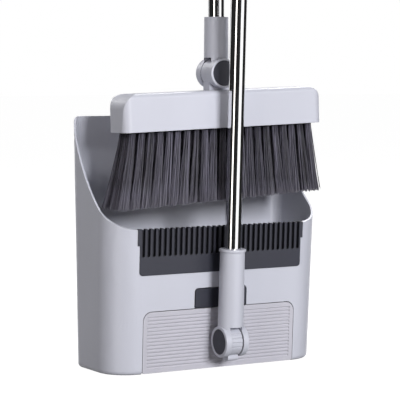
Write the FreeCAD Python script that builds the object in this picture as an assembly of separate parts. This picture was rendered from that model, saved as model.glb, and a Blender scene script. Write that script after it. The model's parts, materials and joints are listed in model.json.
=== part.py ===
import FreeCAD, Part
import math
import os
from FreeCAD import Vector

# Upright dust pan with a scrub panel in its foot, and a broom that stands in it.
# Millimetres. +Z up, -Y is the front, the origin is the middle of the pan's base on the floor.

# --- driving dimensions ---------------------------------------------------------------------

# dust pan
PAN_HEIGHT = 300.0
LIP_HEIGHT = 170.0
PAN_HALF_FLOOR = 143.5
PAN_HALF_TOP = 148.0
PAN_BACK = 53.0
PAN_FRONT_AT_LIP = -53.0
FRONT_LEAN = 0.05
WALL = 2.5
FRONT_CORNER_R = 38.0
BACK_CORNER_R = 13.0
BACK_TOP_CORNER_R = 12.0
BOTTOM_EDGE_R = 5.0
SCOOP_MIDDLE_Y = 6.6
SCOOP_MIDDLE_Z = 216.0
FAR = 200.0

# comb in the lip
COMB_HALF = 113.5
COMB_BOTTOM = 117.0
COMB_TOP = LIP_HEIGHT + 1.5
COMB_PROUD = 1.0
COMB_DEPTH = 6.5
COMB_CORNER_R = 4.0
COMB_STEP = 2.8
COMB_STEP_Z = 152.0
SLOT_COUNT = 31
SLOT_PITCH = 7.1
SLOT_WIDTH = 4.2
SLOT_BOTTOM = 138.5
SLOT_DEPTH = 4.8

# recess for the scrub panel
RECESS_HALF = 104.5
RECESS_TOP = 74.0
RECESS_BACK = -6.5
RECESS_CORNER_R = 11.0

# latch over the recess
LATCH_HALF = 36.0
LATCH_TOP = 98.0
LATCH_GAP = 0.8
LATCH_CORNER_R = 5.0
LATCH_BACK = -22.0
BUTTON_DEPTH = 14.0
BUTTON_PROUD = 0.6
BUTTON_SKIN = 2.4
BUTTON_TRAVEL = 3.0
SPRING_X = 20.0
SPRING_Z = 86.0
SPRING_R = 3.2
SPRING_WIRE_R = 0.45
SPRING_TURNS = 6
CATCH_HALF = 7.0
CATCH_FRONT = -43.0
CATCH_BACK = -38.5
CATCH_TIP = 69.0
CATCH_NOSE = 2.0
CATCH_EDGE_R = 0.5
CATCH_ROOT_GAP = 0.4
CATCH_SLOT_GAP = 1.0

# scrub panel
PANEL_HALF = 104.0
PANEL_FLOOR_GAP = 1.0
PANEL_TOP = 73.3
PANEL_SEAM = -36.0
PANEL_BACK = -31.0
PANEL_SKIN = 2.2
PANEL_FOOT_R = 2.5
RIB_PITCH = 4.2
RIB_COUNT = 15
RIB_HALF_LENGTH = 98.5
RIB_GROOVE_R = 1.4
RIB_GROOVE_DEPTH = 0.8
SCRUB_ROWS = 7
SCRUB_ROW_PITCH = 9.0
SCRUB_ROW_THICK = 5.0
SCRUB_HALF = 99.0
SCRUB_TIP = -10.0
SCREW_X = 80.0
SCREW_Z_LOW = 14.5
SCREW_Z_HIGH = 59.5
SCREW_R = 1.5
SCREW_HEAD_R = 3.0
SCREW_HEAD_THICK = 2.0
SCREW_SEAT_DEPTH = 2.5
SCREW_GAP = 0.1
SCREW_BOSS_WALL = 1.0
SCREW_HOLE_DEPTH = 8.0
SCREW_HEAD_SINK = 2.4
SCREW_SHANK = 9.5
CROSS_HALF = 2.0
CROSS_HALF_WIDTH = 0.4
CROSS_FLOOR = 1.2

# pivots of both poles: a fork on the pole's socket round a lug, on one pin
LUG_R = 17.0
LUG_HALF = 7.4
WASHER_THICK = 0.5
WASHER_R = 12.0
FORK_GAP_HALF = 8.0
FORK_CROWN = 18.2
POLE_SEAT = 28.0
LUG_GROOVE_COUNT = 4
LUG_GROOVE_FIRST = 145.0
LUG_GROOVE_STEP = 18.0
LUG_GROOVE_R = 0.9
LUG_NECK_HALF = 12.0
LUG_EDGE_R = 0.8
LUG_SIDE_GAP = 0.4
LUG_SCREW_Z = 6.0
LUG_SCREW_DEPTH = 12.0
LUG_SCREW_SHANK = 13.0
TAB_CORNER_R = 4.0
CHEEK_EDGE_R = 1.2
CAP_EDGE_R = 0.5
WASHER_BORE_GAP = 0.3
TAB_DEPTH_HALF = 6.5
TAB_DROP = 6.0
PIN_R = 4.0
PIN_PRESS_GAP = 0.02
PIN_RUNNING_GAP = 0.06
CAP_R = 14.8
CAP_RECESS_R = 15.0
CAP_THICK = 2.6
CAP_RECESS = 3.0

# poles
POLE_R = 9.5
POLE_WALL = 0.5
POLE_GAP = 0.1
END_GAP = 0.5
SLEEVE_R = 12.8
SLEEVE_FOOT_R = 11.8
SLEEVE_FOOT_SHIFT = -1.5
SLEEVE_TAPER = 26.0

# dust pan handle
HANDLE_Y = -70.5
HANDLE_PIVOT_Z = 35.5
HANDLE_LEAN = 2.7
HANDLE_CHEEK_R = 18.5
HANDLE_FORK_HALF = 15.6
HANDLE_SOCKET_TOP = 142.0
HANDLE_SOCKET_FOOT_R = 15.4
HANDLE_SOCKET_TOP_R = 14.6
COLLAR_R = 15.9
COLLAR_THICK = 3.5
HANDLE_SLEEVE_BOTTOM = 447.0
HANDLE_SLEEVE_TOP = 585.0
HANDLE_JOINT_Z = 513.0
HANDLE_GRIP_BOTTOM = 750.0

# clip on the handle's sleeve that holds the broom's pole
CLIP_BOTTOM = 552.0
CLIP_HEIGHT = 22.0
CLIP_BAND = 2.2
CLIP_MOUTH_HALF = 7.2
CLIP_WEB_HALF = 5.0

# broom
BROOM_Y = -38.0
BROOM_PIVOT_Z = 351.0
BROOM_CHEEK_R = 17.6
BROOM_FORK_HALF = 18.5
BROOM_SOCKET_TOP = 417.0
BROOM_SOCKET_FOOT_R = 14.8
BROOM_SOCKET_TOP_R = 14.2
HEAD_TURN = 2.0
HEAD_HALF = 136.0
HEAD_DRAFT = 2.3
HEAD_DEPTH_HALF = 21.0
HEAD_BOTTOM = 287.0
HEAD_TOP = 331.0
HEAD_SKIN = 2.5
HEAD_END_R = 19.0
HEAD_PLAN_R = 10.0
HEAD_EDGE_R = 6.0
NECK_HALF = 14.2
BLOCK_THICK = 8.0
BLOCK_INSET = 0.3
BRISTLE_FIELD_WALL = 7.0
BRISTLE_HALF = 125.0
BRISTLE_DEPTH_HALF = 15.0
TIP_Z = 203.0
TIP_HALF = 142.0
TIP_DEPTH_HALF = 24.0
BROOM_SLEEVE_BOTTOM = 690.0
BROOM_SLEEVE_TOP = 770.0
BROOM_JOINT_Z = 730.0
BROOM_GRIP_BOTTOM = 900.0

# grips
GRIP_LENGTH = 112.0
GRIP_R = 13.6
GRIP_WAIST_R = 12.6
GRIP_FLAT_HALF = 6.5
HANG_HOLE_R = 6.0
HANG_HOLE_BELOW_TOP = 13.0
GRIP_BORE = 22.0
GRIP_FOOT_R = 1.5
GRIP_SWELL = 0.4
GRIP_HEAD_SWELL = 1.4
GRIP_SHOULDER_SWELL = 3.0
GRIP_CURVE_R = 60.0
GRIP_HEAD_R = 11.0
GRIP_SHOULDER_R = 12.0
GRIP_FLAT_R = 16.0
CORE_WALL = 3.0

UP = Vector(0, 0, 1)
ALONG_X = Vector(1, 0, 0)
ALONG_Y = Vector(0, 1, 0)


# --- shape helpers --------------------------------------------------------------------------


def point(plane, offset, u, v):
    """A point of the named plane, which lies `offset` along its own normal axis."""
    if plane == "XY":
        return Vector(u, v, offset)
    if plane == "XZ":
        return Vector(u, offset, v)
    return Vector(offset, u, v)


def outline(plane, offset, corners):
    """A closed wire through corners (u, v, radius), each rounded by its radius."""
    places = [point(plane, offset, u, v) for u, v, _ in corners]
    starts, middles, ends = [], [], []
    for i, here in enumerate(places):
        radius = corners[i][2]
        back = (places[i - 1] - here).normalize()
        ahead = (places[(i + 1) % len(places)] - here).normalize()
        half_angle = back.getAngle(ahead) / 2
        setback = radius / math.tan(half_angle)
        starts.append(here + back * setback)
        ends.append(here + ahead * setback)
        inward = back + ahead
        if radius:
            inward.normalize()
            middles.append(here + inward * (radius / math.sin(half_angle) - radius))
        else:
            middles.append(here)
    edges = []
    for i, start in enumerate(starts):
        if corners[i][2]:
            edges.append(Part.Arc(start, middles[i], ends[i]).toShape())
        following = starts[(i + 1) % len(starts)]
        if (following - ends[i]).Length > 1e-6:
            edges.append(Part.LineSegment(ends[i], following).toShape())
    return Part.Wire(edges)


def prism(plane, offset, depth, corners):
    """A solid on an outline of the named plane, from `offset` to `offset + depth`."""
    normal = point(plane, 1, 0, 0)
    return Part.Face(outline(plane, offset, corners)).extrude(normal * depth)


def rectangle(u0, u1, v0, v1, low_r=0.0, high_r=None):
    """Corners of a rectangle; low_r rounds the two at v0 and high_r the two at v1."""
    top_r = low_r if high_r is None else high_r
    return [(u0, v0, low_r), (u1, v0, low_r), (u1, v1, top_r), (u0, v1, top_r)]


def box(x0, x1, y0, y1, z0, z1):
    return Part.makeBox(x1 - x0, y1 - y0, z1 - z0, Vector(x0, y0, z0))


def rod(radius, length, base, direction):
    return Part.makeCylinder(radius, length, base, direction)


def tube(outer_r, inner_r, length, base, direction=UP):
    return rod(outer_r, length, base, direction).cut(rod(inner_r, length, base, direction))


def rounded_rod(radius, length, base, direction, edge_r):
    """A rod whose two end edges are rounded."""
    body = rod(radius, length, base, direction)
    rims = [edge for edge in body.Edges if abs(edge.Length - 2 * math.pi * radius) < 1e-3]
    return body.makeFillet(edge_r, rims)


def mirrored_x(shape):
    return shape.mirror(Vector(0, 0, 0), ALONG_X)


def save(node, shape):
    shape.exportStep("parts/" + node + ".step")


# --- the pan's tapered outline --------------------------------------------------------------


def pan_half(z):
    return PAN_HALF_FLOOR + (PAN_HALF_TOP - PAN_HALF_FLOOR) * z / PAN_HEIGHT


def pan_front(z):
    return PAN_FRONT_AT_LIP + FRONT_LEAN * (LIP_HEIGHT - z)


def pan_outline(z, inset):
    half = pan_half(z) - inset
    front = pan_front(z) + inset
    back = PAN_BACK - inset
    corners = rectangle(-half, half, front, back, FRONT_CORNER_R - inset, BACK_CORNER_R - inset)
    return outline("XY", z, corners)


def tub(inset, bottom, top):
    """The space inside the pan's walls, less `inset` all round."""
    return Part.makeLoft([pan_outline(bottom, inset), pan_outline(top, inset)], True, True)


def round_bottom(shape, bottom, radius):
    rim = [edge for edge in shape.Edges if edge.BoundBox.ZMax < bottom + 0.01]
    return shape.makeFillet(radius, rim)


def lean(shape):
    """Tips a shape made against an upright front face onto the pan's leaning one."""
    tipped = shape.copy()
    angle = math.degrees(math.atan(FRONT_LEAN))
    tipped.rotate(Vector(0, pan_front(0), 0), ALONG_X, angle)
    return tipped


def behind_face(depth, half, bottom, top, reach=FAR):
    """All that lies `depth` or more behind the leaning front face."""
    start = pan_front(0) + depth
    return lean(box(-half, half, start, start + reach, bottom, top))


# --- dust pan -------------------------------------------------------------------------------


def scoop_cutter():
    """What is cut away above the lip and the curved side walls."""
    end_y = PAN_BACK - 2 * WALL
    above = PAN_HEIGHT + FAR
    top = Vector(-FAR, end_y, PAN_HEIGHT)
    middle = Vector(-FAR, SCOOP_MIDDLE_Y, SCOOP_MIDDLE_Z)
    lip = Vector(-FAR, PAN_FRONT_AT_LIP, LIP_HEIGHT)
    open_sides = Part.makePolygon(
        [lip, Vector(-FAR, PAN_FRONT_AT_LIP, above), Vector(-FAR, end_y, above), top]
    )
    rim = Part.Arc(top, middle, lip).toShape()
    sweep = Part.Face(Part.Wire(open_sides.Edges + [rim])).extrude(ALONG_X * (2 * FAR))
    ahead = box(-FAR, FAR, -FAR, PAN_FRONT_AT_LIP, LIP_HEIGHT, above)
    return sweep.fuse(ahead)


def comb_profile():
    """The comb's front view: its slotted upper part is a little wider than its plate."""
    low_half = COMB_HALF - COMB_STEP
    return [
        (-low_half, COMB_BOTTOM, COMB_CORNER_R),
        (low_half, COMB_BOTTOM, COMB_CORNER_R),
        (low_half, COMB_STEP_Z, 0.0),
        (COMB_HALF, COMB_STEP_Z, 0.0),
        (COMB_HALF, COMB_TOP, 0.0),
        (-COMB_HALF, COMB_TOP, 0.0),
        (-COMB_HALF, COMB_STEP_Z, 0.0),
        (-low_half, COMB_STEP_Z, 0.0),
    ]


def recess_block(clearance):
    """The recess, or its shell when clearance is the wall's thickness."""
    half = RECESS_HALF + clearance
    top = RECESS_TOP + clearance
    back = RECESS_BACK + clearance
    corners = rectangle(-half, half, -1.0, top, 0.0, RECESS_CORNER_R + clearance)
    return prism("XZ", -FAR, back + FAR, corners)


def latch_space(clearance, back):
    """The latch's space behind its window; it is open to the recess below."""
    half = LATCH_HALF + clearance
    bottom = RECESS_TOP - clearance
    top = LATCH_TOP + clearance
    corners = rectangle(-half, half, bottom - 1.0, top, 0.0, LATCH_CORNER_R + clearance)
    return prism("XZ", -FAR, back + FAR, corners)


def make_pan_body():
    outer = round_bottom(tub(0.0, 0.0, PAN_HEIGHT), 0.0, BOTTOM_EDGE_R)
    inner = round_bottom(tub(WALL, WALL, PAN_HEIGHT + 1.0), WALL, BOTTOM_EDGE_R - 1.5)
    back_corners = prism(
        "XZ",
        -FAR,
        2 * FAR,
        rectangle(-PAN_HALF_TOP, PAN_HALF_TOP, -1.0, PAN_HEIGHT, 0.0, BACK_TOP_CORNER_R),
    )
    shell = outer.cut(inner).cut(scoop_cutter()).common(back_corners)
    shell = shell.fuse(recess_block(WALL).common(outer)).cut(recess_block(0.0))
    shell = shell.cut(latch_space(0.0, LATCH_BACK))
    front = pan_front(0)
    notch = prism("XZ", front - 10.0, 10.0 + 2 * WALL, comb_profile())
    return shell.cut(lean(notch)).removeSplitter()


def make_comb():
    """A dark insert; its upright slots are blind, so a thin back closes them."""
    front = pan_front(0) - COMB_PROUD
    plate = prism("XZ", front, COMB_DEPTH, comb_profile())
    half_slot = SLOT_WIDTH / 2
    for i in range(SLOT_COUNT):
        x = (i - (SLOT_COUNT - 1) / 2) * SLOT_PITCH
        slot = rectangle(
            x - half_slot, x + half_slot, SLOT_BOTTOM, COMB_TOP + 1.0, half_slot - 0.01, 0.0
        )
        plate = plate.cut(prism("XZ", front - 1.0, SLOT_DEPTH + 1.0, slot))
    back_top = box(
        -COMB_HALF, COMB_HALF, front + SLOT_DEPTH, front + COMB_DEPTH, LIP_HEIGHT, COMB_TOP + 1.0
    )
    return lean(plate.cut(back_top))


def make_latch_housing():
    half = LATCH_HALF + WALL
    corners = rectangle(
        -half, half, RECESS_TOP + WALL, LATCH_TOP + WALL, 0.0, LATCH_CORNER_R + WALL
    )
    outer = prism("XZ", -FAR, LATCH_BACK + WALL + FAR, corners)
    housing = outer.common(tub(WALL, WALL, PAN_HEIGHT)).cut(latch_space(0.0, LATCH_BACK))
    return housing.removeSplitter()


def button_front():
    return pan_front(0) - BUTTON_PROUD


def button_outline(inset):
    half = LATCH_HALF - LATCH_GAP - inset
    bottom = RECESS_TOP + LATCH_GAP + inset
    top = LATCH_TOP - LATCH_GAP - inset
    return rectangle(-half, half, bottom, top, 0.5, LATCH_CORNER_R - LATCH_GAP - inset)


def make_latch_button():
    front = button_front()
    outer = prism("XZ", front, BUTTON_DEPTH, button_outline(0.0))
    inner = prism("XZ", front + BUTTON_SKIN, BUTTON_DEPTH, button_outline(BUTTON_SKIN))
    return lean(outer.cut(inner))


def make_latch_catch():
    """A springy hook under the button; its nose stands in the slot in the panel's top."""
    root = RECESS_TOP + CATCH_ROOT_GAP
    profile = [
        (CATCH_FRONT, root, 0.0),
        (CATCH_FRONT, CATCH_TIP + CATCH_NOSE, CATCH_EDGE_R),
        (CATCH_BACK - CATCH_NOSE, CATCH_TIP, CATCH_EDGE_R),
        (CATCH_BACK, CATCH_TIP, CATCH_EDGE_R),
        (CATCH_BACK, root, 0.0),
    ]
    return prism("YZ", -CATCH_HALF, 2 * CATCH_HALF, profile)


def make_latch_springs():
    """Two coil springs between the button's skin and the back of the housing."""
    end_gap = 1.0
    start = pan_front(SPRING_Z) - BUTTON_PROUD + BUTTON_SKIN + end_gap
    length = LATCH_BACK - end_gap - start
    helix = Part.makeHelix(length / SPRING_TURNS, length, SPRING_R)
    wire = Part.Wire(helix.Edges)
    section = Part.Circle(Vector(SPRING_R, 0, 0), ALONG_Y, SPRING_WIRE_R).toShape()
    coil = wire.makePipeShell([Part.Wire([section])], True, True)
    coil.rotate(Vector(0, 0, 0), ALONG_X, -90)
    coil.translate(Vector(SPRING_X, start, SPRING_Z))
    return Part.makeCompound([coil, mirrored_x(coil)])


# --- scrub panel ----------------------------------------------------------------------------


def panel_profile(inset):
    return rectangle(
        -PANEL_HALF + inset,
        PANEL_HALF - inset,
        PANEL_FLOOR_GAP + inset,
        PANEL_TOP - inset,
        PANEL_FOOT_R,
        RECESS_CORNER_R - inset,
    )


def screw_places():
    return [(x, z) for x in (-SCREW_X, SCREW_X) for z in (SCREW_Z_LOW, SCREW_Z_HIGH)]


def catch_slot():
    """The catch's slot in the panel's top edge, with room for the button's travel."""
    return box(
        -CATCH_HALF - CATCH_SLOT_GAP,
        CATCH_HALF + CATCH_SLOT_GAP,
        CATCH_FRONT - CATCH_SLOT_GAP,
        CATCH_BACK + BUTTON_TRAVEL + CATCH_SLOT_GAP,
        CATCH_TIP - CATCH_SLOT_GAP,
        FAR,
    )


def make_panel_cover():
    """The ribbed front half, hollow, with bosses for the screws and the catch's slot."""
    solid = prism("XZ", -FAR, PANEL_SEAM + FAR, panel_profile(0.0))
    cover = solid.common(behind_face(0.0, FAR, -FAR, FAR))
    hollow = prism("XZ", -FAR, PANEL_SEAM + FAR, panel_profile(PANEL_SKIN))
    cover = cover.cut(hollow.common(behind_face(PANEL_SKIN, FAR, -FAR, FAR)))
    face = pan_front(0) - RIB_GROOVE_R + RIB_GROOVE_DEPTH
    middle = (PANEL_TOP + PANEL_FLOOR_GAP) / 2
    for i in range(RIB_COUNT):
        z = middle + (i - (RIB_COUNT - 1) / 2) * RIB_PITCH
        groove = rod(RIB_GROOVE_R, 2 * RIB_HALF_LENGTH, Vector(-RIB_HALF_LENGTH, face, z), ALONG_X)
        cover = cover.cut(lean(groove))
    inside = behind_face(PANEL_SKIN, FAR, -FAR, FAR)
    for x, z in screw_places():
        boss = rod(
            SCREW_HEAD_R + SCREW_BOSS_WALL, FAR + PANEL_SEAM, Vector(x, -FAR, z), ALONG_Y
        )
        start = PANEL_SEAM - SCREW_HOLE_DEPTH
        hole = rod(SCREW_R, SCREW_HOLE_DEPTH, Vector(x, start, z), ALONG_Y)
        cover = cover.fuse(boss.common(inside)).cut(hole)
    for z in lug_screw_heights():
        cover = cover.cut(rod(SCREW_R + SCREW_GAP, FAR, Vector(0, -FAR, z), ALONG_Y))
    return cover.cut(catch_slot()).removeSplitter()


def make_panel_back():
    """The back half, set in a little at the seam, with seats for the screws' heads."""
    thick = PANEL_BACK - PANEL_SEAM
    seam_step = 1.0
    back = prism("XZ", PANEL_SEAM, thick, panel_profile(seam_step))
    rim = prism("XZ", PANEL_SEAM + seam_step, thick - seam_step, panel_profile(0.0))
    back = back.fuse(rim)
    for x, z in screw_places():
        hole = rod(SCREW_R + 2 * SCREW_GAP, thick, Vector(x, PANEL_SEAM, z), ALONG_Y)
        start = PANEL_BACK - SCREW_SEAT_DEPTH
        seat = rod(
            SCREW_HEAD_R + 2 * SCREW_GAP, SCREW_SEAT_DEPTH, Vector(x, start, z), ALONG_Y
        )
        back = back.cut(hole).cut(seat)
    return back.cut(catch_slot()).removeSplitter()


def make_panel_bristles():
    """Rows of short stiff bristles, each row one plain bar."""
    middle = (PANEL_TOP + PANEL_FLOOR_GAP) / 2
    rows = []
    for i in range(SCRUB_ROWS):
        z = middle + (i - (SCRUB_ROWS - 1) / 2) * SCRUB_ROW_PITCH
        half = SCRUB_ROW_THICK / 2
        rows.append(box(-SCRUB_HALF, SCRUB_HALF, PANEL_BACK, SCRUB_TIP, z - half, z + half))
    return Part.makeCompound(rows)


def screw(head_base, shank_length):
    """A screw whose head faces +Y and whose shank runs towards -Y."""
    head = rod(SCREW_HEAD_R, SCREW_HEAD_THICK, head_base, ALONG_Y)
    shank_r = SCREW_R - SCREW_GAP / 2
    shank = rod(shank_r, shank_length, head_base - ALONG_Y * shank_length, ALONG_Y)
    long, wide, top = CROSS_HALF, CROSS_HALF_WIDTH, SCREW_SEAT_DEPTH
    cross = box(-long, long, CROSS_FLOOR, top, -wide, wide)
    cross = cross.fuse(box(-wide, wide, CROSS_FLOOR, top, -long, long))
    cross.translate(head_base)
    return head.fuse(shank).cut(cross)


def make_panel_screws():
    base = PANEL_BACK - SCREW_HEAD_SINK
    return Part.makeCompound([screw(Vector(x, base, z), SCREW_SHANK) for x, z in screw_places()])


# --- pivots ---------------------------------------------------------------------------------


def make_lug(running_r):
    """The lug that a fork turns on: pivot at the origin, pin along X."""
    lug = rounded_rod(LUG_R, 2 * LUG_HALF, Vector(-LUG_HALF, 0, 0), ALONG_X, LUG_EDGE_R)
    return lug.cut(rod(running_r, 2 * LUG_HALF, Vector(-LUG_HALF, 0, 0), ALONG_X))


def make_fork(half, cheek_r, foot_r, top_r, top):
    """A pole's socket with a fork below: pivot at the origin, pin along X, pole up +Z."""
    body = rounded_rod(cheek_r, 2 * half, Vector(-half, 0, 0), ALONG_X, CHEEK_EDGE_R)
    body = body.fuse(Part.makeCone(foot_r, top_r, top))
    gap = box(-FORK_GAP_HALF, FORK_GAP_HALF, -FAR, FAR, -FAR, FORK_CROWN)
    bore = rod(POLE_R + POLE_GAP, top, Vector(0, 0, POLE_SEAT), UP)
    pin_hole = rod(PIN_R + PIN_PRESS_GAP, 2 * half, Vector(-half, 0, 0), ALONG_X)
    body = body.cut(gap).cut(bore).cut(pin_hole)
    for x in (-half, half - CAP_RECESS):
        body = body.cut(rod(CAP_RECESS_R, CAP_RECESS, Vector(x, 0, 0), ALONG_X))
    return body.removeSplitter()


def make_pin(half):
    length = 2 * (half - CAP_RECESS)
    return rod(PIN_R, length, Vector(-length / 2, 0, 0), ALONG_X)


def make_cap(half):
    """A disc with a soft edge in the recess at the +X end of a fork."""
    return rounded_rod(CAP_R, CAP_THICK, Vector(half - CAP_RECESS, 0, 0), ALONG_X, CAP_EDGE_R)


def make_washer():
    start = (LUG_HALF + FORK_GAP_HALF - WASHER_THICK) / 2
    return tube(WASHER_R, PIN_R + WASHER_BORE_GAP, WASHER_THICK, Vector(start, 0, 0), ALONG_X)


def at_handle(shape):
    placed = shape.copy()
    placed.translate(Vector(0, HANDLE_Y, HANDLE_PIVOT_Z))
    return placed


def leaning(shape):
    """Tips a part made on the upright pole forward, about the handle's pin."""
    tipped = shape.copy()
    tipped.rotate(Vector(0, HANDLE_Y, HANDLE_PIVOT_Z), ALONG_X, HANDLE_LEAN)
    return tipped


def turned(shape):
    """Turns a part of the level head a little about the broom's pin, its +X end up."""
    swung = shape.copy()
    swung.rotate(Vector(0, BROOM_Y, BROOM_PIVOT_Z), ALONG_Y, -HEAD_TURN)
    return swung


def at_broom(shape):
    """Turns a pivot part so that its pin runs front to back; its +X end comes to the front."""
    placed = shape.copy()
    placed.rotate(Vector(0, 0, 0), UP, -90)
    placed.translate(Vector(0, BROOM_Y, BROOM_PIVOT_Z))
    return placed


def lug_screw_heights():
    return (HANDLE_PIVOT_Z - LUG_SCREW_Z, HANDLE_PIVOT_Z + LUG_SCREW_Z)


def make_panel_lug():
    """The handle's lug: grip ridges in front, a stop tab below, a neck back to the panel."""
    lug = make_lug(PIN_R + PIN_RUNNING_GAP)
    for i in range(LUG_GROOVE_COUNT):
        angle = math.radians(LUG_GROOVE_FIRST + i * LUG_GROOVE_STEP)
        place = Vector(-LUG_HALF, LUG_R * math.cos(angle), LUG_R * math.sin(angle))
        lug = lug.cut(rod(LUG_GROOVE_R, 2 * LUG_HALF, place, ALONG_X))
    half = LUG_HALF - LUG_SIDE_GAP
    tab_section = rectangle(
        -TAB_DEPTH_HALF, TAB_DEPTH_HALF, -LUG_R - TAB_DROP, -LUG_R + TAB_DROP, TAB_CORNER_R, 0.0
    )
    tab = prism("YZ", -half, 2 * half, tab_section)
    neck = box(-half, half, LUG_R / 2, FAR, -LUG_NECK_HALF, LUG_NECK_HALF)
    lug = at_handle(lug.fuse(tab).fuse(neck)).cut(behind_face(0.0, FAR, -FAR, FAR))
    for z in lug_screw_heights():
        start = pan_front(z) - LUG_SCREW_DEPTH
        lug = lug.cut(rod(SCREW_R, FAR, Vector(0, start, z), ALONG_Y))
    return lug.removeSplitter()


def make_lug_screws():
    screws = []
    for z in lug_screw_heights():
        inner_face = pan_front(z) + PANEL_SKIN + LUG_SIDE_GAP
        screws.append(screw(Vector(0, inner_face, z), LUG_SCREW_SHANK))
    return Part.makeCompound(screws)


# --- poles ----------------------------------------------------------------------------------


def pole(y, bottom, top):
    return tube(POLE_R, POLE_R - POLE_WALL, top - bottom, Vector(0, y, bottom))


def sleeve(y, bottom, top):
    """A round sleeve over two pole ends; its foot tapers in at the back."""
    foot = Part.Circle(Vector(0, y + SLEEVE_FOOT_SHIFT, bottom), UP, SLEEVE_FOOT_R).toShape()
    waist = Part.Circle(Vector(0, y, bottom + SLEEVE_TAPER), UP, SLEEVE_R).toShape()
    taper = Part.makeLoft([Part.Wire([foot]), Part.Wire([waist])], True, True)
    straight = top - bottom - SLEEVE_TAPER
    body = taper.fuse(rod(SLEEVE_R, straight, Vector(0, y, bottom + SLEEVE_TAPER), UP))
    return body.cut(rod(POLE_R + POLE_GAP, top - bottom, Vector(0, y, bottom), UP))


def grip(y, bottom):
    """A round grip that flattens at the top round a hanging hole."""
    swell_z, waist_z, core_z, shoulder_z, flat_z = (
        GRIP_LENGTH * share for share in (0.26, 0.6, 0.55, 0.62, 0.8)
    )
    side = [
        (0.0, 0.0, 0.0),
        (GRIP_WAIST_R, 0.0, GRIP_FOOT_R),
        (GRIP_R + GRIP_SWELL, swell_z, GRIP_CURVE_R),
        (GRIP_WAIST_R, waist_z, GRIP_CURVE_R),
        (GRIP_R + GRIP_HEAD_SWELL, GRIP_LENGTH, GRIP_HEAD_R),
        (0.0, GRIP_LENGTH, 0.0),
    ]
    body = Part.Face(outline("XZ", 0.0, side)).revolve(Vector(0, 0, 0), UP, 360)
    shoulder = GRIP_R + GRIP_SHOULDER_SWELL
    flat = [
        (-FAR, -1.0, 0.0),
        (FAR, -1.0, 0.0),
        (shoulder, shoulder_z, GRIP_SHOULDER_R),
        (GRIP_FLAT_HALF, flat_z, GRIP_FLAT_R),
        (GRIP_FLAT_HALF, FAR, 0.0),
        (-GRIP_FLAT_HALF, FAR, 0.0),
        (-GRIP_FLAT_HALF, flat_z, GRIP_FLAT_R),
        (-shoulder, shoulder_z, GRIP_SHOULDER_R),
    ]
    body = body.common(prism("YZ", -FAR, 2 * FAR, flat))
    hole_z = GRIP_LENGTH - HANG_HOLE_BELOW_TOP
    body = body.cut(rod(HANG_HOLE_R, 2 * FAR, Vector(0, -FAR, hole_z), ALONG_Y))
    body = body.cut(rod(POLE_R + POLE_GAP, GRIP_BORE, Vector(0, 0, 0), UP))
    body = body.cut(rod(POLE_R - CORE_WALL, core_z - GRIP_BORE, Vector(0, 0, GRIP_BORE), UP))
    body.translate(Vector(0, y, bottom))
    return body


def make_broom_clip():
    """A band round the handle's sleeve with springy jaws for the broom's pole."""
    band_r = SLEEVE_R + 0.05
    jaw_r = POLE_R + 0.35
    base = Vector(0, HANDLE_Y, CLIP_BOTTOM)
    jaw_base = Vector(0, BROOM_Y, CLIP_BOTTOM)
    band = leaning(rod(band_r + CLIP_BAND, CLIP_HEIGHT, base, UP))
    jaws = rod(jaw_r + CLIP_BAND, CLIP_HEIGHT, jaw_base, UP)
    web = box(
        -CLIP_WEB_HALF,
        CLIP_WEB_HALF,
        band.BoundBox.Center.y,
        BROOM_Y,
        CLIP_BOTTOM,
        CLIP_BOTTOM + CLIP_HEIGHT,
    )
    through = leaning(rod(band_r, 3 * CLIP_HEIGHT, base - UP * CLIP_HEIGHT, UP))
    mouth = prism(
        "XY",
        CLIP_BOTTOM,
        CLIP_HEIGHT,
        [
            (-CLIP_MOUTH_HALF, BROOM_Y, 0.0),
            (CLIP_MOUTH_HALF, BROOM_Y, 0.0),
            (CLIP_MOUTH_HALF + 8.0, BROOM_Y + 30.0, 0.0),
            (-CLIP_MOUTH_HALF - 8.0, BROOM_Y + 30.0, 0.0),
        ],
    )
    clip = band.fuse(jaws).fuse(web)
    clip = clip.cut(through).cut(rod(jaw_r, CLIP_HEIGHT, jaw_base, UP))
    return clip.cut(mouth).removeSplitter()


def make_collar():
    base = Vector(0, HANDLE_Y, HANDLE_SOCKET_TOP)
    ring = rounded_rod(COLLAR_R, COLLAR_THICK, base, UP, 1.2)
    return ring.cut(rod(POLE_R + POLE_GAP, COLLAR_THICK, base, UP))


# --- broom ----------------------------------------------------------------------------------


def head_block(inset, bottom):
    """The head's outer form less `inset`: rounded in front view, in plan and in section."""
    half = HEAD_HALF - inset
    depth = HEAD_DEPTH_HALF - inset
    top = HEAD_TOP - inset
    front_view = [
        (-half, bottom, 0.0),
        (half, bottom, 0.0),
        (half - HEAD_DRAFT, top, HEAD_END_R - inset),
        (-half + HEAD_DRAFT, top, HEAD_END_R - inset),
    ]
    plan = rectangle(-half, half, BROOM_Y - depth, BROOM_Y + depth, HEAD_PLAN_R - inset)
    section = rectangle(BROOM_Y - depth, BROOM_Y + depth, bottom, top, 0.0, HEAD_EDGE_R - inset)
    body = prism("XZ", -FAR, 2 * FAR, front_view)
    body = body.common(prism("XY", bottom, top - bottom, plan))
    return body.common(prism("YZ", -FAR, 2 * FAR, section))


def make_broom_head():
    """Hollow shell, open below, with the lug for the pole's fork on top."""
    shell = head_block(0.0, HEAD_BOTTOM).cut(head_block(HEAD_SKIN, HEAD_BOTTOM))
    lug = at_broom(make_lug(PIN_R + PIN_RUNNING_GAP))
    neck = box(
        -NECK_HALF,
        NECK_HALF,
        BROOM_Y - LUG_HALF + LUG_SIDE_GAP,
        BROOM_Y + LUG_HALF - LUG_SIDE_GAP,
        HEAD_TOP - HEAD_SKIN,
        BROOM_PIVOT_Z - 2 * PIN_R,
    )
    return turned(shell.fuse(neck).fuse(lug).removeSplitter())


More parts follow.
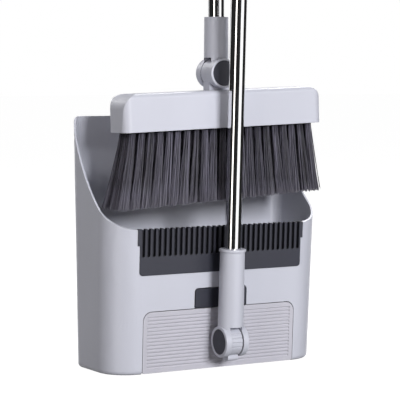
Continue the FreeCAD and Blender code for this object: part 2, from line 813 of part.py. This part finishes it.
def make_bristle_block():
    gap = HEAD_SKIN + BLOCK_INSET
    block = head_block(gap, HEAD_BOTTOM)
    slice_ = box(-FAR, FAR, -FAR, FAR, HEAD_BOTTOM, HEAD_BOTTOM + BLOCK_THICK)
    return turned(block.common(slice_))


def bristle_field(inset, bottom, top):
    """The flared field, less `inset` all round, between two heights."""
    def rim(z):
        share = (HEAD_BOTTOM - z) / (HEAD_BOTTOM - TIP_Z)
        half = BRISTLE_HALF + (TIP_HALF - BRISTLE_HALF) * share - inset
        depth = BRISTLE_DEPTH_HALF + (TIP_DEPTH_HALF - BRISTLE_DEPTH_HALF) * share - inset
        return outline("XY", z, rectangle(-half, half, BROOM_Y - depth, BROOM_Y + depth, 3.0))

    return Part.makeLoft([rim(bottom), rim(top)], True, True)


def make_broom_bristles():
    """The outer tufts of the flared field as one solid, open below between them."""
    field = bristle_field(0.0, TIP_Z, HEAD_BOTTOM)
    hollow = bristle_field(BRISTLE_FIELD_WALL, TIP_Z, HEAD_BOTTOM - BRISTLE_FIELD_WALL)
    return turned(field.cut(hollow))


# --- all nodes ------------------------------------------------------------------------------


def make_pan_nodes():
    save("pan_body", make_pan_body())
    save("pan_comb", make_comb())
    save("latch_housing", make_latch_housing())
    save("latch_button", make_latch_button())
    save("latch_catch", make_latch_catch())
    save("latch_springs", make_latch_springs())


def make_panel_nodes():
    save("panel_cover", make_panel_cover())
    save("panel_back", make_panel_back())
    save("panel_bristles", make_panel_bristles())
    save("panel_screws", make_panel_screws())
    save("pivot_lug", make_panel_lug())
    save("lug_screws", make_lug_screws())


def make_handle_nodes():
    top = HANDLE_SOCKET_TOP - HANDLE_PIVOT_Z
    half = HANDLE_FORK_HALF
    fork = make_fork(half, HANDLE_CHEEK_R, HANDLE_SOCKET_FOOT_R, HANDLE_SOCKET_TOP_R, top)
    cap = make_cap(half)
    washer = make_washer()
    save("handle_socket", leaning(at_handle(fork)))
    save("handle_collar", leaning(make_collar()))
    save("handle_pivot_pin", at_handle(make_pin(half)))
    save("handle_pivot_caps", at_handle(Part.makeCompound([cap, mirrored_x(cap)])))
    save("handle_washers", at_handle(Part.makeCompound([washer, mirrored_x(washer)])))
    foot = HANDLE_PIVOT_Z + POLE_SEAT + END_GAP
    head = HANDLE_GRIP_BOTTOM + GRIP_BORE - END_GAP
    save("handle_tube_lower", leaning(pole(HANDLE_Y, foot, HANDLE_JOINT_Z - END_GAP)))
    save("handle_tube_upper", leaning(pole(HANDLE_Y, HANDLE_JOINT_Z + END_GAP, head)))
    save("handle_sleeve", leaning(sleeve(HANDLE_Y, HANDLE_SLEEVE_BOTTOM, HANDLE_SLEEVE_TOP)))
    save("broom_clip", make_broom_clip())
    save("handle_grip", leaning(grip(HANDLE_Y, HANDLE_GRIP_BOTTOM)))


def make_broom_nodes():
    save("broom_head", make_broom_head())
    save("broom_bristle_block", make_bristle_block())
    save("broom_bristles", make_broom_bristles())
    top = BROOM_SOCKET_TOP - BROOM_PIVOT_Z
    half = BROOM_FORK_HALF
    cap = make_cap(half)
    washer = make_washer()
    fork = make_fork(half, BROOM_CHEEK_R, BROOM_SOCKET_FOOT_R, BROOM_SOCKET_TOP_R, top)
    save("broom_socket", at_broom(fork))
    save("broom_pivot_pin", at_broom(make_pin(half)))
    save("broom_pivot_cap", at_broom(cap))
    save("broom_pivot_disc", at_broom(mirrored_x(cap)))
    save("broom_washers", at_broom(Part.makeCompound([washer, mirrored_x(washer)])))
    foot = BROOM_PIVOT_Z + POLE_SEAT + END_GAP
    head = BROOM_GRIP_BOTTOM + GRIP_BORE - END_GAP
    save("broom_tube_lower", pole(BROOM_Y, foot, BROOM_JOINT_Z - END_GAP))
    save("broom_tube_upper", pole(BROOM_Y, BROOM_JOINT_Z + END_GAP, head))
    save("broom_sleeve", sleeve(BROOM_Y, BROOM_SLEEVE_BOTTOM, BROOM_SLEEVE_TOP))
    save("broom_grip", grip(BROOM_Y, BROOM_GRIP_BOTTOM))


os.makedirs("parts", exist_ok=True)
make_pan_nodes()
make_panel_nodes()
make_handle_nodes()
make_broom_nodes()
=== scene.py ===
import json
import math
import random

import bmesh
import bpy
from mathutils import Matrix, Vector


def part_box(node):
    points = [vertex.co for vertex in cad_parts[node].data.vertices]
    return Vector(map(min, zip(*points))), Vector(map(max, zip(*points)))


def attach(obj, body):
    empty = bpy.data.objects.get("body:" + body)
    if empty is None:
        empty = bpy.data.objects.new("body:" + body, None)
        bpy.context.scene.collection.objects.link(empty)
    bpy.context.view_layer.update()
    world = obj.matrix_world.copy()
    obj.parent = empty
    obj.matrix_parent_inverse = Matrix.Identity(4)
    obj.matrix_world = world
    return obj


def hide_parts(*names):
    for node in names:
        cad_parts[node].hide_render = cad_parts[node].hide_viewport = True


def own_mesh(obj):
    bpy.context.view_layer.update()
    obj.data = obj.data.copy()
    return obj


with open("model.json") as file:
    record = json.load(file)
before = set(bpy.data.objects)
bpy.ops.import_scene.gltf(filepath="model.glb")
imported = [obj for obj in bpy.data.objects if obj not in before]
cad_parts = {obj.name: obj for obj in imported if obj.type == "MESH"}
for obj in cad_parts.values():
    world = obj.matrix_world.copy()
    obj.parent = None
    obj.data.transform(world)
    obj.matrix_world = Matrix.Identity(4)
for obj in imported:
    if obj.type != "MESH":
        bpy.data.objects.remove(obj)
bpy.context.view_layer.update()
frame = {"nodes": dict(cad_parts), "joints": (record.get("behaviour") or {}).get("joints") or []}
scene = bpy.context.scene
nodes = frame["nodes"]
joints = {joint["name"]: joint for joint in frame["joints"]}

# metres and degrees throughout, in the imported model's frame
HEAD_TURN = math.radians(2.0)  # how far the head hangs turned on its pin at rest
TUFT_COLUMNS, TUFT_ROWS = 21, 5
TUFT_STRANDS, TUFT_STRANDS_QUICK = 62, 20
TUFT_ROOT_X, TUFT_ROOT_Y = 0.1205, 0.0112  # the outermost tufts' roots, from the middle
TUFT_SINK = 0.007  # how far a root reaches up into the block
TIP_CLEAR = 0.0055  # the tips' height over the foot of the field
TIP_SHIFT = 0.008  # the field hangs over to -X
TIP_SAG = 0.003  # and lower towards -X
STRAND_STEPS = 4
SCRUB_COLUMNS, SCRUB_ROWS = 26, 7
SCRUB_STRANDS, SCRUB_STRANDS_QUICK = 11, 5
SCRUB_MARGIN_X, SCRUB_MARGIN_Z = 0.0035, 0.0025
SCRUB_STEPS = 3


# --- camera and studio ----------------------------------------------------------------------

CAMERA_AZIMUTH = math.radians(-30.37)
CAMERA_DISTANCE = 2.0843
CAMERA_HEIGHT = 0.3446
CAMERA_PITCH = math.radians(-4.02)
CAMERA_LENS = 155.5
CAMERA_SENSOR = 36.0
STUDIO_AIM = Vector((0, 0, 0.3))
WARM = (1.0, 0.95, 0.90)
FLOOR_REACH = 30.0
FLOOR_DROP = 0.0005


def make_camera():
    data = bpy.data.cameras.new("camera")
    data.lens = CAMERA_LENS
    data.sensor_width = CAMERA_SENSOR
    data.clip_start, data.clip_end = 0.05, 60.0
    camera = bpy.data.objects.new("camera", data)
    scene.collection.objects.link(camera)
    camera.location = (
        CAMERA_DISTANCE * math.sin(CAMERA_AZIMUTH),
        -CAMERA_DISTANCE * math.cos(CAMERA_AZIMUTH),
        CAMERA_HEIGHT,
    )
    camera.rotation_euler = (math.radians(90) + CAMERA_PITCH, 0.0, CAMERA_AZIMUTH)
    scene.camera = camera


def softbox(name, azimuth, elevation, distance, size, watts, tint=(1, 1, 1), lights_matt=True):
    """An area light that faces the object; azimuth 0 is its front and 90 its +X side."""
    data = bpy.data.lights.new(name, "AREA")
    data.shape = "RECTANGLE"
    data.size, data.size_y = size
    data.energy = watts
    data.color = tint
    lamp = bpy.data.objects.new(name, data)
    scene.collection.objects.link(lamp)
    a, e = math.radians(azimuth), math.radians(elevation)
    away = Vector((math.sin(a) * math.cos(e), -math.cos(a) * math.cos(e), math.sin(e)))
    lamp.location = STUDIO_AIM + away * distance
    lamp.rotation_euler = away.to_track_quat("Z", "Y").to_euler()
    lamp.visible_camera = False
    lamp.visible_diffuse = lights_matt


def make_world():
    """White to the camera, a dim warm grey as light, and almost black in level reflections."""
    world = bpy.data.worlds.new("studio")
    world.use_nodes = True
    tree = world.node_tree
    tree.nodes.clear()
    out = tree.nodes.new("ShaderNodeOutputWorld")
    path = tree.nodes.new("ShaderNodeLightPath")
    previous = background(tree, (1.0, 0.96, 0.90), 0.035)
    mirrored = background(tree, (1.0, 1.0, 1.0), 1.0)
    tree.links.new(height_ramp(tree), mirrored.inputs["Color"])
    seen = background(tree, (1.0, 1.0, 1.0), 1.0)
    for ray, shown in (("Is Glossy Ray", mirrored), ("Is Camera Ray", seen)):
        mix = tree.nodes.new("ShaderNodeMixShader")
        tree.links.new(path.outputs[ray], mix.inputs[0])
        tree.links.new(previous.outputs[0], mix.inputs[1])
        tree.links.new(shown.outputs[0], mix.inputs[2])
        previous = mix
    tree.links.new(previous.outputs[0], out.inputs[0])
    scene.world = world


def height_ramp(tree):
    """Dark at the horizon, pale grey well above and below it."""
    coords = tree.nodes.new("ShaderNodeTexCoord")
    split = tree.nodes.new("ShaderNodeSeparateXYZ")
    steepness = tree.nodes.new("ShaderNodeMath")
    steepness.operation = "ABSOLUTE"
    ramp = tree.nodes.new("ShaderNodeValToRGB")
    ramp.color_ramp.elements[0].position = 0.20
    ramp.color_ramp.elements[0].color = (0.02, 0.02, 0.02, 1)
    ramp.color_ramp.elements[1].position = 0.45
    ramp.color_ramp.elements[1].color = (0.42, 0.42, 0.43, 1)
    tree.links.new(coords.outputs["Generated"], split.inputs[0])
    tree.links.new(split.outputs["Z"], steepness.inputs[0])
    tree.links.new(steepness.outputs[0], ramp.inputs[0])
    return ramp.outputs["Color"]


def background(tree, colour, strength):
    node = tree.nodes.new("ShaderNodeBackground")
    node.inputs["Color"].default_value = (*colour, 1.0)
    node.inputs["Strength"].default_value = strength
    return node


def make_floor():
    """A plain pale floor; it looks almost white but throws little light back up."""
    mesh = bpy.data.meshes.new("floor")
    signs = ((-1, -1), (1, -1), (1, 1), (-1, 1))
    corners = [(x * FLOOR_REACH, y * FLOOR_REACH, 0) for x, y in signs]
    mesh.from_pydata(corners, [], [(0, 1, 2, 3)])
    floor = bpy.data.objects.new("floor", mesh)
    floor.location.z = -FLOOR_DROP
    scene.collection.objects.link(floor)
    material = bpy.data.materials.new("floor_pale")
    material.use_nodes = True
    tree = material.node_tree
    tree.nodes.clear()
    out = tree.nodes.new("ShaderNodeOutputMaterial")
    mix = tree.nodes.new("ShaderNodeMixShader")
    path = tree.nodes.new("ShaderNodeLightPath")
    bounce = tree.nodes.new("ShaderNodeBsdfDiffuse")
    bounce.inputs["Color"].default_value = (0.32, 0.32, 0.32, 1)
    pale = tree.nodes.new("ShaderNodeBsdfDiffuse")
    pale.inputs["Color"].default_value = (0.20, 0.20, 0.20, 1)
    glow = tree.nodes.new("ShaderNodeEmission")
    glow.inputs["Color"].default_value = (0.985, 0.985, 0.985, 1)
    add = tree.nodes.new("ShaderNodeAddShader")
    link = tree.links.new
    link(pale.outputs[0], add.inputs[0])
    link(glow.outputs[0], add.inputs[1])
    link(path.outputs["Is Camera Ray"], mix.inputs[0])
    link(bounce.outputs[0], mix.inputs[1])
    link(add.outputs[0], mix.inputs[2])
    link(mix.outputs[0], out.inputs[0])
    mesh.materials.append(material)
    floor.visible_glossy = False


def make_studio():
    """A high key in front, level cards that streak the chrome, weak light from above and behind."""
    scene.view_settings.view_transform = "Standard"
    make_world()
    make_floor()
    softbox("key", azimuth=1, elevation=15, distance=3.9, size=(1.2, 1.0), watts=149)
    softbox("top", azimuth=0, elevation=75, distance=2.4, size=(1.4, 1.4), watts=2.5)
    softbox("left_card", -60, 0, distance=2.2, size=(0.65, 2.4), watts=14.5, tint=WARM)
    for name, azimuth, watts in (("back_left", -150, 34), ("back_right", 130, 40)):
        softbox(name, azimuth, elevation=42, distance=2.6, size=(1.2, 1.2), watts=watts)
    for name, azimuth, elevation, distance, width, watts in (
        ("right_card", 24, 2, 2.6, 2.0, 22),
        ("back_card_left", -168, 0, 2.8, 0.7, 9),
        ("back_card_right", 122, 0, 2.8, 1.0, 11),
    ):
        softbox(name, azimuth, elevation, distance, (width, 2.6), watts, lights_matt=False)


# --- materials ------------------------------------------------------------------------------


class Surface:
    """A material under construction: a Principled shader and short ways to feed it."""

    def __init__(self, name, colour, roughness, metallic=0.0, ior=1.49):
        self.material = bpy.data.materials.new(name)
        self.material.use_nodes = True
        self.material.diffuse_color = (*colour, 1)
        self.tree = self.material.node_tree
        self.shader = self.tree.nodes["Principled BSDF"]
        self.shader.inputs["Base Color"].default_value = (*colour, 1)
        self.shader.inputs["Roughness"].default_value = roughness
        self.shader.inputs["Metallic"].default_value = metallic
        self.shader.inputs["IOR"].default_value = ior
        self.normal = None

    def add(self, kind, **values):
        node = self.tree.nodes.new(kind)
        for key, value in values.items():
            if hasattr(node, key):
                setattr(node, key, value)
            else:
                node.inputs[key].default_value = value
        return node

    def link(self, a, b):
        self.tree.links.new(a, b)

    def place(self, stretch=(1, 1, 1)):
        """Object coordinates, in metres, scaled along each axis."""
        coords = self.add("ShaderNodeTexCoord")
        mapping = self.add("ShaderNodeMapping")
        mapping.inputs["Scale"].default_value = stretch
        self.link(coords.outputs["Object"], mapping.inputs["Vector"])
        return mapping.outputs[0]

    def noise(self, scale, detail=2.0, stretch=(1, 1, 1), roughness=0.5):
        node = self.add("ShaderNodeTexNoise")
        node.inputs["Scale"].default_value = scale
        node.inputs["Detail"].default_value = detail
        node.inputs["Roughness"].default_value = roughness
        self.link(self.place(stretch), node.inputs["Vector"])
        return node.outputs["Fac"]

    def span(self, value, low, high, from_low=0.25, from_high=0.75):
        """value, remapped to run from low to high."""
        node = self.add("ShaderNodeMapRange")
        node.inputs["From Min"].default_value = from_low
        node.inputs["From Max"].default_value = from_high
        node.inputs["To Min"].default_value = low
        node.inputs["To Max"].default_value = high
        self.link(value, node.inputs["Value"])
        return node.outputs[0]

    def blend_colour(self, factor, first, second):
        node = self.add("ShaderNodeMix", data_type="RGBA")
        self.link(factor, node.inputs["Factor"])
        for socket, colour in (("A", first), ("B", second)):
            target = [i for i in node.inputs if i.name == socket and i.type == "RGBA"][0]
            if isinstance(colour, bpy.types.NodeSocket):
                self.link(colour, target)
            else:
                target.default_value = (*colour, 1)
        return [o for o in node.outputs if o.type == "RGBA"][0]

    def set_colour(self, socket):
        self.link(socket, self.shader.inputs["Base Color"])

    def set_roughness(self, socket):
        self.link(socket, self.shader.inputs["Roughness"])

    def soft_edges(self, radius):
        node = self.add("ShaderNodeBevel", samples=4)
        node.inputs["Radius"].default_value = radius
        self.normal = node.outputs[0]
        self.link(self.normal, self.shader.inputs["Normal"])

    def bump(self, height, strength, distance):
        node = self.add("ShaderNodeBump")
        node.inputs["Strength"].default_value = strength
        node.inputs["Distance"].default_value = distance
        self.link(height, node.inputs["Height"])
        if self.normal is not None:
            self.link(self.normal, node.inputs["Normal"])
        self.normal = node.outputs[0]
        self.link(self.normal, self.shader.inputs["Normal"])


def tinted(colour, factor):
    return tuple(min(1.0, c * factor) for c in colour)


def moulded_plastic(
    name, colour, roughness, grain, grain_depth, mottle=0.03, edge=0.0007, painted_shade_reach=0.0022
):
    """Injection-moulded plastic: fine grain, faint clouds, softly rounded edges, and painted shade that
    darkens the colour in crevices.
    """
    surface = Surface(name, colour, roughness)
    surface.soft_edges(edge)
    cloud = surface.noise(scale=14.0, detail=3.0, stretch=(1.0, 1.0, 0.45))
    speck = surface.noise(scale=900.0, detail=1.0)
    tone = surface.blend_colour(
        surface.span(cloud, 0.0, 1.0), tinted(colour, 1 - mottle), tinted(colour, 1 + mottle)
    )
    fine = surface.span(speck, 0.0, 0.10)
    grained = surface.blend_colour(fine, tone, tinted(colour, 0.86))
    # Painted shade: where ambient occlusion finds nearby surfaces, the base colour is darkened towards a
    # quarter of itself in crevices, seams and slots.
    painted_shade_ao = surface.add("ShaderNodeAmbientOcclusion", samples=8)
    painted_shade_ao.inputs["Distance"].default_value = painted_shade_reach
    shade = surface.span(painted_shade_ao.outputs["AO"], 1.0, 0.0, 0.15, 0.75)
    surface.set_colour(surface.blend_colour(shade, grained, tinted(colour, 0.25)))
    rub = surface.noise(scale=55.0, detail=4.0, stretch=(1.0, 1.0, 3.0), roughness=0.7)
    surface.set_roughness(surface.span(rub, roughness - 0.05, roughness + 0.07))
    surface.bump(surface.noise(scale=grain), strength=0.35, distance=grain_depth)
    return surface.material


def chrome(name):
    """Bright plated tube: mirror finish with faint drawing lines and small dull spots."""
    surface = Surface(name, (0.80, 0.80, 0.815), 0.07, metallic=1.0, ior=1.5)
    lines = surface.noise(scale=620.0, stretch=(1.0, 1.0, 0.01))
    spots = surface.noise(scale=70.0, detail=4.0, stretch=(1.0, 1.0, 0.6), roughness=0.65)
    surface.set_roughness(surface.span(spots, 0.045, 0.10))
    surface.set_colour(
        surface.blend_colour(
            surface.span(lines, 0.0, 1.0), (0.74, 0.74, 0.76), (0.86, 0.86, 0.87)
        )
    )
    surface.bump(lines, strength=0.06, distance=0.00002)
    return surface.material


def turned_steel(name):
    surface = Surface(name, (0.52, 0.52, 0.53), 0.32, metallic=1.0, ior=1.5)
    lines = surface.noise(scale=1500.0, stretch=(0.03, 1.0, 1.0))
    surface.set_roughness(surface.span(lines, 0.24, 0.42))
    surface.set_colour(
        surface.blend_colour(surface.span(lines, 0.0, 1.0), (0.42, 0.42, 0.43), (0.62, 0.62, 0.62))
    )
    surface.bump(lines, strength=0.15, distance=0.00003)
    return surface.material


def fibre(name, dark, pale, tip, low, high):
    """Bristle fibre: each strand has its own tone; the last stretch to the tips is paler."""
    surface = Surface(name, dark, 0.55)
    surface.shader.inputs["Sheen Weight"].default_value = 0.15
    tone = surface.add("ShaderNodeAttribute", attribute_name="tone")
    streak = surface.noise(scale=420.0, stretch=(1.0, 1.0, 0.04))
    colour = surface.blend_colour(tone.outputs["Fac"], dark, pale)
    colour = surface.blend_colour(surface.span(streak, 0.0, 0.45), colour, tinted(dark, 0.7))
    split = surface.add("ShaderNodeSeparateXYZ")
    surface.link(surface.place(), split.inputs[0])
    near_tip = surface.span(split.outputs["Z"], 1.0, 0.0, low, high)
    surface.set_colour(surface.blend_colour(near_tip, colour, tip))
    surface.set_roughness(surface.span(streak, 0.45, 0.68))
    surface.bump(streak, strength=0.3, distance=0.0001)
    return surface.material


def paint(material, *names):
    for name in names:
        mesh = nodes[name].data
        mesh.materials.clear()
        mesh.materials.append(material)


def paint_all():
    shell = moulded_plastic("shell_plastic", (0.52, 0.53, 0.605), 0.36, 1700.0, 0.00004)
    panel = moulded_plastic("panel_plastic", (0.475, 0.468, 0.53), 0.46, 1300.0, 0.00007, 0.05)
    # The dark plastic's painted shade reaches further, so the comb's slots are painted darker.
    dark = moulded_plastic("dark_plastic", (0.017, 0.018, 0.031), 0.48, 1500.0, 0.00007, 0.12, painted_shade_reach=0.006)
    nylon = moulded_plastic("washer_nylon", (0.72, 0.70, 0.63), 0.40, 1200.0, 0.00003)
    plated = chrome("pole_chrome")
    steel = turned_steel("pin_steel")
    make_latch_springs(turned_steel("spring_steel"))
    paint(
        shell,
        "pan_body",
        "latch_housing",
        "pivot_lug",
        "handle_socket",
        "handle_collar",
        "handle_sleeve",
        "broom_clip",
        "handle_grip",
        "broom_head",
        "broom_socket",
        "broom_pivot_disc",
        "broom_sleeve",
        "broom_grip",
    )
    paint(panel, "panel_cover", "panel_back")
    paint(
        dark,
        "pan_comb",
        "latch_button",
        "latch_catch",
        "handle_pivot_caps",
        "broom_pivot_cap",
        "broom_bristle_block",
    )
    paint(nylon, "handle_washers", "broom_washers")
    paint(
        plated,
        "handle_tube_lower",
        "handle_tube_upper",
        "broom_tube_lower",
        "broom_tube_upper",
    )
    paint(
        steel,
        "panel_screws",
        "lug_screws",
        "handle_pivot_pin",
        "broom_pivot_pin",
    )


# --- bristles -------------------------------------------------------------------------------


class Strands:
    """Collects thin tapered three-sided strands and makes one mesh of them."""

    def __init__(self):
        self.points, self.faces, self.tones = [], [], []

    def add(self, path, root_r, tip_r, tone):
        first = len(self.points)
        last = len(path) - 1
        for i, centre in enumerate(path):
            here, there = path[max(i - 1, 0)], path[min(i + 1, last)]
            along = (there - here).normalized()
            side = along.cross(Vector((0.31, 0.95, 0.0))).normalized()
            other = along.cross(side)
            radius = root_r + (tip_r - root_r) * i / last
            for k in range(3):
                turn = 2 * math.pi * k / 3
                self.points.append(
                    centre + side * (radius * math.cos(turn)) + other * (radius * math.sin(turn))
                )
                self.tones.append(tone)
        for i in range(last):
            for k in range(3):
                a = first + 3 * i + k
                b = first + 3 * i + (k + 1) % 3
                self.faces.append((a, b, b + 3, a + 3))
        end = first + 3 * last
        self.faces.append((end, end + 1, end + 2))
        self.faces.append((first + 2, first + 1, first))

    def make(self, name, material):
        mesh = bpy.data.meshes.new(name)
        mesh.from_pydata(self.points, [], self.faces)
        values = mesh.attributes.new("tone", "FLOAT", "POINT")
        values.data.foreach_set("value", self.tones)
        mesh.polygons.foreach_set("use_smooth", [True] * len(mesh.polygons))
        mesh.materials.append(material)
        mesh.update()
        piece = bpy.data.objects.new(name, mesh)
        scene.collection.objects.link(piece)
        return piece


def make_broom_bristles():
    """Flared tufts in rows under the head, crimped, with uneven tips."""
    rng = random.Random(276)
    pivot = Vector(joints["broom_swivel"]["pos_m"])
    low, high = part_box("broom_bristles")
    root_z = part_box("broom_bristle_block")[0].z + TUFT_SINK
    tip_z = low.z + TIP_CLEAR
    middle_y = (low.y + high.y) / 2
    tip_half = (high.x - low.x) / 2 - 0.004
    depth_half = (high.y - low.y) / 2
    strands = Strands()
    per_tuft = TUFT_STRANDS
    for row in range(TUFT_ROWS):
        v = 2 * row / (TUFT_ROWS - 1) - 1
        for column in range(TUFT_COLUMNS):
            u = 2 * column / (TUFT_COLUMNS - 1) - 1
            tuft_tone = rng.uniform(-0.12, 0.12)
            lean_x, lean_y = rng.gauss(0, 0.0012), rng.gauss(0, 0.0012)
            for _ in range(per_tuft):
                angle, share = rng.uniform(0, 2 * math.pi), math.sqrt(rng.random())
                dx, dy = share * math.cos(angle), share * math.sin(angle)
                root = Vector(
                    (
                        u * TUFT_ROOT_X + dx * 0.0036,
                        middle_y + v * TUFT_ROOT_Y + dy * 0.0030,
                        root_z,
                    )
                )
                tip = Vector(
                    (
                        u * (tip_half - 0.006) + dx * 0.0068 + lean_x - TIP_SHIFT,
                        middle_y + v * (depth_half - 0.005) + dy * 0.0055 + lean_y,
                        tip_z - TIP_SAG * (1 - u) + abs(rng.gauss(0, 0.0026)),
                    )
                )
                phase = rng.uniform(0, 2 * math.pi)
                crimp = rng.uniform(0.0002, 0.0006)
                path = []
                for i in range(STRAND_STEPS + 1):
                    s = i / STRAND_STEPS
                    place = root.lerp(tip, s)
                    bow = s ** 1.15 - s
                    place.x += (tip.x - root.x) * bow
                    place.y += (tip.y - root.y) * bow
                    place.x += crimp * math.sin(phase + 9 * s)
                    place.y += crimp * math.cos(phase + 7 * s)
                    path.append(place)
                tone = min(1.0, max(0.0, rng.betavariate(1.2, 2.4) + tuft_tone))
                strands.add(path, root_r=0.00046, tip_r=0.00031, tone=tone)
    material = fibre(
        "broom_fibre",
        dark=(0.017, 0.015, 0.027),
        pale=(0.26, 0.245, 0.34),
        tip=(0.18, 0.17, 0.23),
        low=tip_z,
        high=tip_z + 0.022,
    )
    piece = strands.make("broom_tufts", material)
    turn = (
        Matrix.Translation(pivot)
        @ Matrix.Rotation(-HEAD_TURN, 4, "Y")
        @ Matrix.Translation(-pivot)
    )
    piece.data.transform(turn)
    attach(piece, "broom")
    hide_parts("broom_bristles")


def make_scrub_bristles():
    """Short stiff tufts in rows on the back of the scrub panel."""
    rng = random.Random(31)
    low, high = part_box("panel_bristles")
    strands = Strands()
    per_tuft = SCRUB_STRANDS
    row_pitch = (high.z - low.z - 2 * SCRUB_MARGIN_Z) / (SCRUB_ROWS - 1)
    column_pitch = (high.x - low.x - 2 * SCRUB_MARGIN_X) / (SCRUB_COLUMNS - 1)
    for row in range(SCRUB_ROWS):
        for column in range(SCRUB_COLUMNS):
            x = low.x + SCRUB_MARGIN_X + column * column_pitch
            z = low.z + SCRUB_MARGIN_Z + row * row_pitch
            for _ in range(per_tuft):
                angle, share = rng.uniform(0, 2 * math.pi), math.sqrt(rng.random())
                dx, dz = share * math.cos(angle), share * math.sin(angle)
                root = Vector((x + dx * 0.0016, low.y - 0.0002, z + dz * 0.0016))
                tip = Vector(
                    (x + dx * 0.0026, high.y - abs(rng.gauss(0, 0.0005)), z + dz * 0.0024)
                )
                path = [root.lerp(tip, i / SCRUB_STEPS) for i in range(SCRUB_STEPS + 1)]
                strands.add(path, root_r=0.00034, tip_r=0.00026, tone=rng.random())
    material = fibre(
        "scrub_fibre",
        dark=(0.012, 0.012, 0.016),
        pale=(0.055, 0.053, 0.065),
        tip=(0.05, 0.05, 0.06),
        low=-2.0,
        high=-1.0,
    )
    piece = strands.make("scrub_tufts", material)
    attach(piece, "panel")
    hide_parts("panel_bristles")


# --- latch springs --------------------------------------------------------------------------

SPRING_TURNS = 6
SPRING_WIRE = 0.00045
SPRING_STEPS = 24
SPRING_SIDES = 10


def coil_points(centre, length, radius):
    """Points along a coil on +Y whose first and last half turns lie flat, as ground ends do."""
    count = SPRING_TURNS * SPRING_STEPS
    points = []
    for i in range(count + 1):
        share = i / count
        rise = min(1.0, max(0.0, (share * SPRING_TURNS - 0.5) / (SPRING_TURNS - 1)))
        turn = 2 * math.pi * SPRING_TURNS * share
        points.append(
            centre + Vector((radius * math.cos(turn), length * rise, radius * math.sin(turn)))
        )
    return points


def make_latch_springs(material):
    """Two coil springs behind the latch button."""
    low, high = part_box("latch_springs")
    radius = (high.z - low.z) / 2 - SPRING_WIRE
    length = high.y - low.y - 2 * SPRING_WIRE
    mesh = bpy.data.meshes.new("latch_spring_coils")
    form = bmesh.new()
    for x in (low.x + radius + SPRING_WIRE, high.x - radius - SPRING_WIRE):
        centre = Vector((x, low.y + SPRING_WIRE, (low.z + high.z) / 2))
        points = coil_points(centre, length, radius)
        rings = []
        for i, place in enumerate(points):
            ahead = points[min(i + 1, len(points) - 1)] - points[max(i - 1, 0)]
            outward = Vector((place.x - centre.x, 0.0, place.z - centre.z)).normalized()
            across = ahead.normalized().cross(outward).normalized()
            ring = []
            for k in range(SPRING_SIDES):
                a = 2 * math.pi * k / SPRING_SIDES
                offset = outward * math.cos(a) + across * math.sin(a)
                ring.append(form.verts.new(place + offset * SPRING_WIRE))
            rings.append(ring)
        for here, there in zip(rings, rings[1:]):
            for k in range(SPRING_SIDES):
                j = (k + 1) % SPRING_SIDES
                form.faces.new((here[k], here[j], there[j], there[k]))
        form.faces.new(list(reversed(rings[0])))
        form.faces.new(rings[-1])
    bmesh.ops.recalc_face_normals(form, faces=form.faces)
    form.to_mesh(mesh)
    form.free()
    mesh.polygons.foreach_set("use_smooth", [True] * len(mesh.polygons))
    mesh.materials.append(material)
    piece = bpy.data.objects.new("latch_spring_coils", mesh)
    scene.collection.objects.link(piece)
    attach(piece, "pan")
    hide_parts("latch_springs")
    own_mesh(piece)


make_camera()
make_studio()
paint_all()
make_broom_bristles()
make_scrub_bristles()
